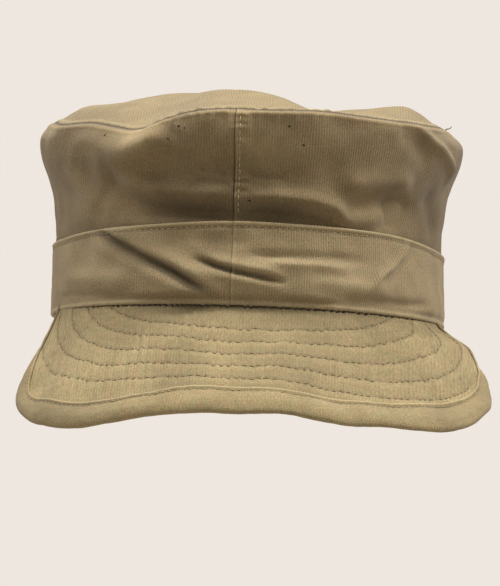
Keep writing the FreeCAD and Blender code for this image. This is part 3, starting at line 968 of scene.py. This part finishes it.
def loose_thread():
    """A frayed end of thread at the right end of the top seam."""
    foot = crown_wall(np.radians([74.0]), np.array([0.985]))[0]
    bends = foot + np.array([[0, 0, -0.6], [0.9, -0.5, 0.4], [1.8, -0.8, 0.5],
                             [2.5, -0.7, 1.0], [2.9, -0.4, 1.6]])
    steps = 24
    spine = on_curve(np.linspace(0, len(bends) - 1, steps), range(len(bends)), bends)
    ahead = unit(np.gradient(spine, axis=0))
    first = unit(np.cross(ahead, [0, 1.0, 0]))
    second = np.cross(ahead, first)
    turn = (np.arange(8) * TURN / 8)[:, None]
    fat = 0.28 * np.linspace(1, 0.55, steps)[:, None, None]
    round_spine = np.cos(turn) * first[:, None] + np.sin(turn) * second[:, None]
    loops = spine[:, None] + fat * round_spine
    thing = roll_object("loose_thread_end", loops, loops[..., :2])
    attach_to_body(thing, "cap")
    return thing


# ---- inside

def inner_strip(name, phi, t, depth, node):
    """A tape on the inside of the crown's wall."""
    phi, t = np.broadcast_arrays(phi[:, None], t[None, :])
    points = crown_wall(phi, t) - crown_normals(phi, t) * depth
    thing = sheet_object(name, points, cloth_uv(phi * GIRTH, t * WALL_HEIGHT))
    thicken(thing, TAPE_CLOTH)
    return attach(thing, "outer_cloth", node)


def inside_strips():
    """The tape round the top seam and the strips behind the front and back seams."""
    around = np.linspace(-math.pi, math.pi, 541)
    near = np.linspace(-5.0, 5.0, 25) / GIRTH
    return [
        inner_strip("top_seam_tape", around, np.linspace(0.8, 0.95, 10), 2.0,
                    "crown_top_seam_tape"),
        inner_strip("front_seam_strip", SEAM_PHI + near, np.linspace(0.08, 0.78, 40), 1.9,
                    "crown_front_seam_strip"),
        inner_strip("back_seam_strip", math.pi + near, np.linspace(0.4, 0.78, 24), 1.9,
                    "crown_back_seam_strip"),
    ]


sweat_slack = swell(26)


def sweatband():
    """The sweatband across the forehead."""
    reach = math.radians(69.5)
    phi = np.linspace(-reach, reach, 300)[:, None]
    z = np.linspace(0.9, 31.5, 40)[None, :]
    points = oval(phi, -3.35 + 0.12 * sweat_slack(phi * GIRTH, z), z)
    uv = cloth_uv(phi * GIRTH, z)
    wear_and_painted_light = np.broadcast_to(bell(z - 31.0, 1.0) + bell(z - 1.3, 1.0), uv.shape[:2])
    thing = sheet_object("sweatband_cloth", points, uv, wear_and_painted_light)
    thicken(thing, LINING_CLOTH)
    return attach(thing, "sweatband_cotton", "sweatband")


def size_label():
    """A blank woven label on the sweatband."""
    phi = np.linspace(-15.0, 15.0, 60)[:, None] / RIM_X
    z = np.linspace(8.0, 24.0, 30)[None, :]
    puff = 0.12 * bell(phi * RIM_X, 11) * bell(z - 16, 6)
    points = oval(phi, -4.35 - puff, z)
    thing = sheet_object("blank_label", points, cloth_uv(phi * GIRTH, z))
    thicken(thing, LABEL_CLOTH)
    return attach(thing, "label_cloth", "size_label")


# The stowed curtain: where it starts round the cap, its lower edge and height, the radius of
# its lower corners, how far in from its edge the stitching runs, and half its length.
CURTAIN_START = math.radians(76)
CURTAIN_FOOT = 3.4
CURTAIN_HEIGHT = 53.5
CURTAIN_CORNER = 20.0
CURTAIN_HEM = 4.0
CURTAIN_REACH = (math.pi - CURTAIN_START) * GIRTH
curtain_slack = swell(40)
curtain_ripple = swell(12)


def curtain_wall(phi, z, layer):
    """The stowed curtain's outer face at a depth of so many layers."""
    alive = ease((z - CURTAIN_FOOT) / 12) * ease((CURTAIN_FOOT + CURTAIN_HEIGHT - z) / 6)
    u = phi * GIRTH
    wave = -0.35 + 0.2 * curtain_slack(u, z) + 0.06 * curtain_ripple(u, z)
    return oval(phi, -3.7 - 0.85 * layer + alive * np.minimum(wave, 0), z)


def curtain_layer(name, layer, shrink, node, slot):
    """One cloth of the curtain, its lower corners rounded."""
    across = np.linspace(-1, 1, 420)[:, None]
    up = np.linspace(0, 1, 60)[None, :]
    reach = CURTAIN_REACH - shrink
    from_end = reach * (1 - np.abs(across))
    corner = np.maximum(CURTAIN_CORNER - from_end, 0)
    low = CURTAIN_CORNER - np.sqrt(np.maximum(CURTAIN_CORNER ** 2 - corner ** 2, 0))
    foot = CURTAIN_FOOT + shrink + low
    head = CURTAIN_FOOT + CURTAIN_HEIGHT - shrink
    z = foot + (head - foot) * up
    phi = math.pi + across * reach / GIRTH + 0 * up
    points = curtain_wall(phi, z, layer)
    wear_and_painted_light = np.clip(bell(z - foot, 1.2) + bell(from_end, 1.2), 0, 1)
    thing = sheet_object(name, points, cloth_uv(phi * GIRTH, z), wear_and_painted_light)
    thicken(thing, LINING_CLOTH)
    return attach(thing, slot, node, body="curtain")


def ear_curtain():
    """The ear and neck curtain: outer cloth, flannel lining and the stitching near its edge."""
    shell = curtain_layer("curtain_outer_cloth", 0, 0.0, "curtain_shell", "outer_cloth")
    lining = curtain_layer("curtain_flannel", 1, 0.6, "curtain_lining", "lining_flannel")
    half = (CURTAIN_REACH - CURTAIN_CORNER - 1) / GIRTH
    phi = math.pi + np.linspace(-half, half, 900)
    z = np.full_like(phi, CURTAIN_FOOT + CURTAIN_HEM)
    line = curtain_wall(phi, z, 2)
    normals = -unit(line * [1, 1, 0])
    hem = stitches("curtain_hem_stitches", line, normals,
                   pitch=3.0, length=2.2, radius=0.22, lift=0.4)
    attach(hem, "thread", "curtain_stitching", body="curtain")
    return shell, lining, hem


# ---- materials

class Nodes:
    """Short calls for building a node tree."""

    def __init__(self, name):
        self.material = bpy.data.materials.new(name)
        self.material.use_nodes = True
        self.tree = self.material.node_tree
        self.shader = self.tree.nodes["Principled BSDF"]

    def add(self, kind, settings=None, **inputs):
        """A node with its settings and inputs; a space in an input's name is an underscore."""
        node = self.tree.nodes.new(kind)
        for key, value in (settings or {}).items():
            setattr(node, key, value)
        for key, value in inputs.items():
            self.plug(node.inputs[key.replace("_", " ")], value)
        return node

    def plug(self, socket, value):
        """Link a socket to an input, or write a plain value on it."""
        if isinstance(value, bpy.types.NodeSocket):
            self.tree.links.new(value, socket)
        else:
            socket.default_value = value

    def math(self, operation, a, b=0.0):
        """Arithmetic on one or two numbers."""
        node = self.tree.nodes.new("ShaderNodeMath")
        node.operation = operation
        for socket, value in zip(node.inputs, (a, b)):
            self.plug(socket, value)
        return node.outputs[0]

    def plus(self, a, b):
        """Sum of two numbers."""
        return self.math("ADD", a, b)

    def times(self, a, b):
        """Product of two numbers."""
        return self.math("MULTIPLY", a, b)

    def mix(self, share, a, b, blend="MIX"):
        """Two colours mixed."""
        node = self.tree.nodes.new("ShaderNodeMix")
        node.data_type = "RGBA"
        node.blend_type = blend
        self.plug(node.inputs[0], share)
        self.plug(node.inputs[6], a)
        self.plug(node.inputs[7], b)
        return node.outputs[2]

    def noise(self, where, scale, detail=3.0, roughness=0.55):
        """Cloudy noise between 0 and 1."""
        node = self.add("ShaderNodeTexNoise", Vector=where, Scale=scale, Detail=detail,
                        Roughness=roughness)
        return node.outputs["Fac"]

    def spread(self, value, low, high, new_low=0.0, new_high=1.0):
        """A number's range stretched onto a new one."""
        node = self.tree.nodes.new("ShaderNodeMapRange")
        for socket, item in zip(node.inputs, (value, low, high, new_low, new_high)):
            self.plug(socket, item)
        return node.outputs[0]


# Colour of the painted shade in folds, grooves and hollows, as a linear colour.
PAINTED_SHADE_COLOUR = (0.03, 0.022, 0.012, 1)


def ribbed_cloth(name, colour, pale, dark, rib=1.15, rib_depth=0.5, mottling=1.0, rib_shade=0.13):
    """Worn cotton with a fine vertical rib, its ribs so many millimetres apart."""
    n = Nodes(name)
    cloth = n.add("ShaderNodeUVMap", {"uv_map": "cloth"}).outputs[0]
    place = n.add("ShaderNodeTexCoord").outputs["Object"]
    wear_and_painted_light = n.add("ShaderNodeAttribute", {"attribute_name": "wear_and_painted_light"}).outputs["Fac"]
    parts = n.add("ShaderNodeSeparateXYZ", Vector=cloth)
    u, v = parts.outputs[0], parts.outputs[1]
    # Upright ribs and the threads that cross them, a little uneven as in real cloth.
    drift = n.noise(cloth, 0.11, 2.0)
    shaky = n.noise(cloth, 0.9, 2.0)
    bent = n.plus(u, n.plus(n.times(drift, 0.8), n.times(shaky, 0.16)))
    ribs = n.math("SINE", n.times(bent, math.tau / rib))
    picks = n.math("SINE", n.times(v, math.tau / 0.55))
    stretched = n.add("ShaderNodeCombineXYZ", X=n.times(u, 3.2), Y=n.times(v, 0.7))
    streak = n.noise(stretched.outputs[0], 0.7, 4.0, 0.7)
    grain = n.noise(cloth, 1.5, 3.0, 0.75)
    # Colour: broad and middling mottling, then ribs, threads and grain, then rubbing and painted
    # highlights, then painted shade.
    broad = n.noise(place, 16.0, 3.0)
    middling = n.noise(place, 60.0, 4.0, 0.62)
    tone = n.mix(n.spread(broad, 0.3, 0.7, 0.45, 1.0), dark, colour)
    tone = n.mix(n.times(n.spread(middling, 0.35, 0.75), 0.28 * mottling), tone, pale)
    rib_life = n.spread(n.noise(cloth, 0.09, 3.0, 0.6), 0.35, 0.65, 0.15, 1.3)
    rib_tone = n.times(n.spread(ribs, -1.0, 1.0, -rib_shade, 0.8 * rib_shade), rib_life)
    thread_tone = n.plus(n.spread(streak, 0.3, 0.7, -0.14, 0.14),
                         n.spread(grain, 0.3, 0.7, -0.3, 0.3))
    specked = n.spread(n.noise(cloth, 1.15, 1.0, 0.5), 0.3, 0.7, -0.1, 0.1)
    thread_tone = n.plus(thread_tone, specked)
    shade = n.plus(1.0, n.plus(rib_tone, thread_tone))
    heather = n.spread(n.noise(cloth, 0.3, 5.0, 0.8), 0.35, 0.65, -0.07, 0.07)
    redder = n.times(shade, n.plus(1.0, heather))
    greener = n.times(shade, n.math("SUBTRACT", 1.0, n.times(heather, 0.5)))
    factor = n.add("ShaderNodeCombineXYZ", X=redder, Y=greener, Z=shade).outputs[0]
    tone = n.mix(1.0, tone, factor, "MULTIPLY")
    # Above zero the cloth turns paler, for rubbing and for painted highlights; below zero it takes
    # painted shade.
    rubbed_and_highlight = n.times(wear_and_painted_light, n.spread(n.noise(place, 260.0, 3.0, 0.7), 0.25, 0.65, 0.35, 1.0))
    tone = n.mix(n.times(rubbed_and_highlight, 0.75), tone, pale)
    painted_shade = n.spread(wear_and_painted_light, 0.0, -1.0)
    tone = n.mix(n.times(painted_shade, 0.8), tone, PAINTED_SHADE_COLOUR)
    n.plug(n.shader.inputs["Base Color"], tone)
    n.plug(n.shader.inputs["Roughness"], n.spread(middling, 0.3, 0.8, 0.82, 0.96))
    n.shader.inputs["Specular IOR Level"].default_value = 0.25
    n.shader.inputs["Sheen Weight"].default_value = 0.12
    n.shader.inputs["Sheen Roughness"].default_value = 0.5
    # Relief of the weave, too fine for the mesh.
    height = n.plus(n.times(ribs, rib_depth), n.times(picks, 0.12))
    height = n.plus(height, n.times(grain, 0.9))
    height = n.plus(height, n.times(streak, 0.6))
    bump = n.add("ShaderNodeBump", Strength=0.85, Distance=0.00014, Height=height)
    n.plug(n.shader.inputs["Normal"], bump.outputs[0])
    return n.material


def thread_cloth(name, colour, pale):
    """Cotton sewing thread."""
    n = Nodes(name)
    place = n.add("ShaderNodeTexCoord").outputs["Object"]
    tone = n.mix(n.noise(place, 500.0, 2.0), colour, pale)
    n.plug(n.shader.inputs["Base Color"], tone)
    n.shader.inputs["Roughness"].default_value = 0.9
    n.shader.inputs["Specular IOR Level"].default_value = 0.15
    n.shader.inputs["Sheen Weight"].default_value = 0.05
    twist = n.noise(place, 3000.0, 1.0)
    bump = n.add("ShaderNodeBump", Strength=0.5, Distance=0.0001, Height=twist)
    n.plug(n.shader.inputs["Normal"], bump.outputs[0])
    return n.material


def srgb(red, green, blue):
    """A screen colour as the linear colour that nodes take."""
    def channel(value):
        value = value / 255
        return value / 12.92 if value <= 0.04045 else ((value + 0.055) / 1.055) ** 2.4
    return (channel(red), channel(green), channel(blue), 1.0)


OUTER = ribbed_cloth("olive_ribbed_cotton", srgb(116, 99, 69), srgb(164, 146, 108),
                     srgb(94, 79, 54))
SUNNED = ribbed_cloth("faded_top_cotton", srgb(113, 98, 69), srgb(160, 144, 106),
                      srgb(98, 84, 57))
RUBBED = ribbed_cloth("rubbed_band_cotton", srgb(141, 124, 92), srgb(188, 171, 132),
                      srgb(118, 101, 72))
VISOR = ribbed_cloth("faded_visor_cotton", srgb(127, 112, 77), srgb(166, 149, 110),
                     srgb(106, 93, 63), rib_depth=0.35, rib_shade=0.075, mottling=1.5)
PALE_THREAD = thread_cloth("pale_thread", srgb(142, 126, 92), srgb(182, 166, 128))
# The pin marks' dark brown is the painted shade of the holes.
PIN_HOLE_SHADE = thread_cloth("pin_marks", srgb(50, 38, 20), srgb(64, 50, 28))
LINT = thread_cloth("lint", srgb(200, 195, 180), srgb(228, 224, 212))
DARK_THREAD = thread_cloth("dark_thread", srgb(84, 70, 44), srgb(118, 100, 66))
FLANNEL = ribbed_cloth("brushed_flannel", srgb(150, 142, 112), srgb(184, 176, 146),
                       srgb(126, 118, 92), rib=2.4, rib_depth=0.15, mottling=0.6)
SWEAT = ribbed_cloth("plain_cotton_tape", srgb(158, 146, 116), srgb(190, 180, 150),
                     srgb(126, 112, 84), rib=0.8, rib_depth=0.3)
LINING = ribbed_cloth("inside_cotton", srgb(128, 113, 82), srgb(160, 145, 110), srgb(108, 95, 68))
LABEL = ribbed_cloth("label_weave", srgb(214, 208, 190), srgb(232, 228, 214), srgb(190, 182, 160),
                     rib=0.5, rib_depth=0.15, mottling=0.4)


def paint(material, *things):
    """Give pieces a material."""
    for thing in things:
        thing.data.materials.clear()
        thing.data.materials.append(material)


# ---- build

left_side = crown_side("crown_left_panel", -math.pi, SEAM_PHI, "crown_side_left")
right_side = crown_side("crown_right_panel", SEAM_PHI, math.pi, "crown_side_right")
top_panel = crown_top()
left_band = band_half("band_left_half", -math.pi, SEAM_PHI, "band_left")
right_band = band_half("band_right_half", SEAM_PHI, math.pi, "band_right")
paint(OUTER, left_side, right_side)
paint(SUNNED, top_panel)
paint(RUBBED, left_band, right_band)

visor_upper = visor_sheet("visor_upper_cloth", 0.0, "visor_top")
visor_lower = visor_sheet("visor_lower_cloth", -1.7, "visor_underside", "visor_stiffener")
edge = visor_binding()
paint(VISOR, visor_upper, visor_lower, edge)

paint(DARK_THREAD, *visor_rows())
paint(PALE_THREAD, binding_stitches(), band_stitches())
front_row = seam_stitches("front_seam_stitches", SEAM_PHI, "crown_front_seam_stitching")
back_row = seam_stitches("back_seam_stitches", math.pi, "crown_back_seam_stitching")
paint(PALE_THREAD, front_row, back_row)
paint(DARK_THREAD, loose_thread())
paint(PIN_HOLE_SHADE, pin_marks())
paint(LINT, lint())

paint(LINING, *inside_strips())
paint(SWEAT, sweatband())
paint(LABEL, size_label())
shell, lining, hem = ear_curtain()
paint(OUTER, shell)
paint(FLANNEL, lining)
paint(PALE_THREAD, hem)


# ---- stage, light and camera

def soft_floor():
    """A pale floor that fades out into the room away from the cap."""
    n = Nodes("pale_floor")
    n.shader.inputs["Base Color"].default_value = (0.47, 0.43, 0.39, 1)
    n.shader.inputs["Roughness"].default_value = 0.9
    place = n.add("ShaderNodeTexCoord").outputs["Object"]
    away = n.add("ShaderNodeVectorMath", {"operation": "LENGTH"}, Vector=place).outputs["Value"]
    fading = n.spread(away, 0.35, 1.3, 1.0, 0.0)
    n.plug(n.shader.inputs["Alpha"], fading)
    return n.material


# The floor is a disc, in metres like the lights and the camera.
FLOOR_REACH = 1.4
FLOOR_Z = -0.30
FLOOR_SIDES = 96
floor_turn = np.arange(FLOOR_SIDES) * TURN / FLOOR_SIDES
floor_mesh = bpy.data.meshes.new("floor")
floor_mesh.from_pydata(
    [(FLOOR_REACH * math.cos(a), FLOOR_REACH * math.sin(a), FLOOR_Z) for a in floor_turn],
    [], [tuple(range(FLOOR_SIDES))])
floor = add_object("floor", floor_mesh)
floor.data.materials.append(soft_floor())


def area_light(name, place, aim, size, power, colour):
    """A soft square light aimed at a point."""
    light = bpy.data.lights.new(name, "AREA")
    light.size = size
    light.energy = power
    light.color = colour
    lamp = add_object(name, light)
    lamp.location = place
    lamp.rotation_euler = (Vector(aim) - Vector(place)).to_track_quat("-Z", "Y").to_euler()


area_light("overhead", (0.0, -0.12, 1.5), (0, 0, 0.05),
           size=0.45, power=31, colour=(1, 0.97, 0.92))
area_light("left_side", (-1.05, -0.25, 1.25), (0, 0, 0.02),
           size=0.7, power=17, colour=(1, 0.98, 0.95))
area_light("right_side", (1.05, -0.25, 1.25), (0, 0, 0.02),
           size=0.7, power=24, colour=(1, 0.97, 0.95))
area_light("front_fill", (0.3, -1.6, 0.4), (0, 0, 0.0),
           size=1.2, power=2.6, colour=(1, 0.98, 0.95))
bpy.context.scene.view_settings.view_transform = "Standard"

# The room's light, and a brighter backdrop where the camera sees past the cap.
world = bpy.data.worlds.new("studio")
bpy.context.scene.world = world
world.use_nodes = True
tree = world.node_tree
background = tree.nodes["Background"]
background.inputs["Color"].default_value = (0.86, 0.81, 0.75, 1)
background.inputs["Strength"].default_value = 0.42
seen = tree.nodes.new("ShaderNodeBackground")
seen.inputs["Color"].default_value = (0.86, 0.80, 0.74, 1)
seen.inputs["Strength"].default_value = 1.0
ray = tree.nodes.new("ShaderNodeLightPath")
chooser = tree.nodes.new("ShaderNodeMixShader")
tree.links.new(ray.outputs["Is Camera Ray"], chooser.inputs[0])
tree.links.new(background.outputs[0], chooser.inputs[1])
tree.links.new(seen.outputs[0], chooser.inputs[2])
tree.links.new(chooser.outputs[0], tree.nodes["World Output"].inputs[0])

# The camera looks a little upwards at a point inside the band; the lens shift moves that point
# off the middle, in parts of the view's height.
AIM = Vector((0, 0, 0.030))
DISTANCE = 1.0
SIGHT_RISE = math.radians(-5.65)
SIGHT_TURN = math.radians(1.5)
ROLL = math.radians(1.95)
SENSOR = 36.0
LENS = 142.8328
SHIFT_RIGHT = 0.0022184
SHIFT_UP = -0.0660410

camera_data = bpy.data.cameras.new("camera")
camera_data.sensor_fit = "VERTICAL"
camera_data.sensor_height = SENSOR
camera_data.lens = LENS
camera_data.shift_x = SHIFT_RIGHT
camera_data.shift_y = SHIFT_UP
camera_data.clip_end = 50
camera = add_object("camera", camera_data)
bpy.context.scene.camera = camera
toward = Vector((math.sin(SIGHT_TURN) * math.cos(SIGHT_RISE),
                 -math.cos(SIGHT_TURN) * math.cos(SIGHT_RISE), math.sin(SIGHT_RISE)))
right = Vector((math.cos(SIGHT_TURN), math.sin(SIGHT_TURN), 0))
above = toward.cross(right)
rolled_right = right * math.cos(ROLL) + above * math.sin(ROLL)
rolled_up = above * math.cos(ROLL) - right * math.sin(ROLL)
camera.matrix_world = Matrix.Translation(AIM + toward * DISTANCE) @ Matrix(
    (rolled_right, rolled_up, toward)).transposed().to_4x4()
